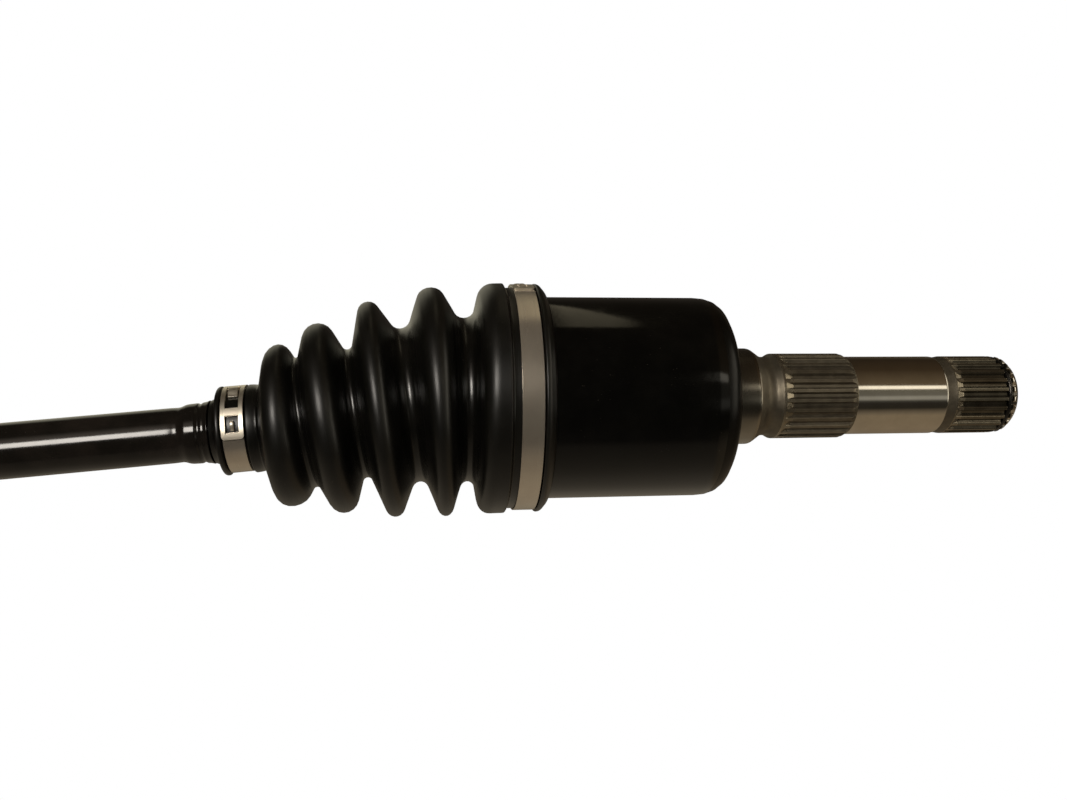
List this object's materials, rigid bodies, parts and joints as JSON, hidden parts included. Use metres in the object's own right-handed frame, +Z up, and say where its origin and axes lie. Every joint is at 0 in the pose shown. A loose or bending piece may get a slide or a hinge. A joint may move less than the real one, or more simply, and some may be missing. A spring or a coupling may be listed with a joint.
{
  "type": "cv axle",
  "caption": "Drive axle: a shaft with a plunging and a fixed constant velocity joint, each under a folded rubber boot held by band clamps, with splined stubs at the ends.",
  "frame": {"origin": "centre of the flat end face of the inner stub", "axes": "+X out of the inner stub's end face along the inner joint's axis, +Z up; at rest the shaft runs towards -X and droops by 4.65 degrees"},
  "size_m": [0.6115, 0.0838, 0.1114],
  "materials": {
    "black_paint": "gloss black paint; the stubs are bare ground steel with dark splines",
    "boot_rubber": "satin black moulded rubber",
    "band_steel": "satin stainless band",
    "hard_steel": "hardened and ground, lightly greased",
    "ball_steel": "polished bearing steel",
    "spring_steel": "dark oiled spring wire"
  },
  "bodies": {
    "inner_housing": {"inner_joint_housing": "black_paint", "stub_snap_ring": "spring_steel", "inner_retaining_ring": "spring_steel", "inner_boot": "boot_rubber", "inner_boot_large_clamp": "band_steel"},
    "inner_joint_centre": {"inner_ball_1": "ball_steel", "inner_ball_4": "ball_steel"},
    "inner_cage": {"inner_cage": "hard_steel"},
    "inner_ball_2": {"inner_ball_2": "ball_steel"},
    "inner_ball_3": {"inner_ball_3": "ball_steel"},
    "inner_ball_5": {"inner_ball_5": "ball_steel"},
    "inner_ball_6": {"inner_ball_6": "ball_steel"},
    "shaft": {"axle_shaft": "black_paint", "inner_race": "hard_steel", "inner_race_circlip": "spring_steel", "inner_race_stop_ring": "spring_steel", "inner_boot_small_clamp": "band_steel", "outer_race": "hard_steel", "outer_race_circlip": "spring_steel", "outer_boot_small_clamp": "band_steel"},
    "outer_cage": {"outer_cage": "hard_steel", "outer_ball_1": "ball_steel", "outer_ball_2": "ball_steel", "outer_ball_3": "ball_steel", "outer_ball_4": "ball_steel", "outer_ball_5": "ball_steel", "outer_ball_6": "ball_steel"},
    "outer_housing": {"outer_joint_housing": "black_paint", "outer_boot": "boot_rubber", "outer_boot_large_clamp": "band_steel"}
  },
  "joints": [
    {"name": "inner_plunge", "type": "slide", "parent": "inner_housing", "child": "inner_joint_centre", "axis": [1, 0, 0], "range_m": [-0.006, 0.006]},
    {"name": "inner_articulation", "type": "hinge", "parent": "inner_joint_centre", "child": "shaft", "pos_m": [-0.1556, 0, 0], "axis": [0, 1, 0], "range_deg": [-12, 22], "deforming": ["inner_boot"]},
    {"name": "inner_cage_tilt", "type": "hinge", "parent": "inner_joint_centre", "child": "inner_cage", "pos_m": [-0.1556, 0, 0], "axis": [0, 1, 0], "range_deg": [-6.5, 11.5]},
    {"name": "inner_ball_2_slide", "type": "slide", "parent": "inner_joint_centre", "child": "inner_ball_2", "axis": [1, 0, 0], "range_m": [-0.003, 0.005]},
    {"name": "inner_ball_3_slide", "type": "slide", "parent": "inner_joint_centre", "child": "inner_ball_3", "axis": [1, 0, 0], "range_m": [-0.003, 0.005]},
    {"name": "inner_ball_5_slide", "type": "slide", "parent": "inner_joint_centre", "child": "inner_ball_5", "axis": [1, 0, 0], "range_m": [-0.005, 0.003]},
    {"name": "inner_ball_6_slide", "type": "slide", "parent": "inner_joint_centre", "child": "inner_ball_6", "axis": [1, 0, 0], "range_m": [-0.005, 0.003]},
    {"name": "outer_articulation", "type": "hinge", "parent": "shaft", "child": "outer_housing", "pos_m": [-0.49946, 0, -0.02797], "axis": [0, 1, 0], "range_deg": [-35, 25], "deforming": ["outer_boot"]},
    {"name": "outer_cage_tilt", "type": "hinge", "parent": "shaft", "child": "outer_cage", "pos_m": [-0.49946, 0, -0.02797], "axis": [0, 1, 0], "range_deg": [-18, 13]}
  ],
  "couplings": [
    {"joint": "inner_cage_tilt", "follows": "inner_articulation", "ratio": 0.5},
    {"joint": "inner_ball_2_slide", "follows": "inner_articulation", "m_per_rad": 0.010278},
    {"joint": "inner_ball_3_slide", "follows": "inner_articulation", "m_per_rad": 0.010278},
    {"joint": "inner_ball_5_slide", "follows": "inner_articulation", "m_per_rad": -0.010278},
    {"joint": "inner_ball_6_slide", "follows": "inner_articulation", "m_per_rad": -0.010278},
    {"joint": "outer_cage_tilt", "follows": "outer_articulation", "ratio": 0.5}
  ]
}
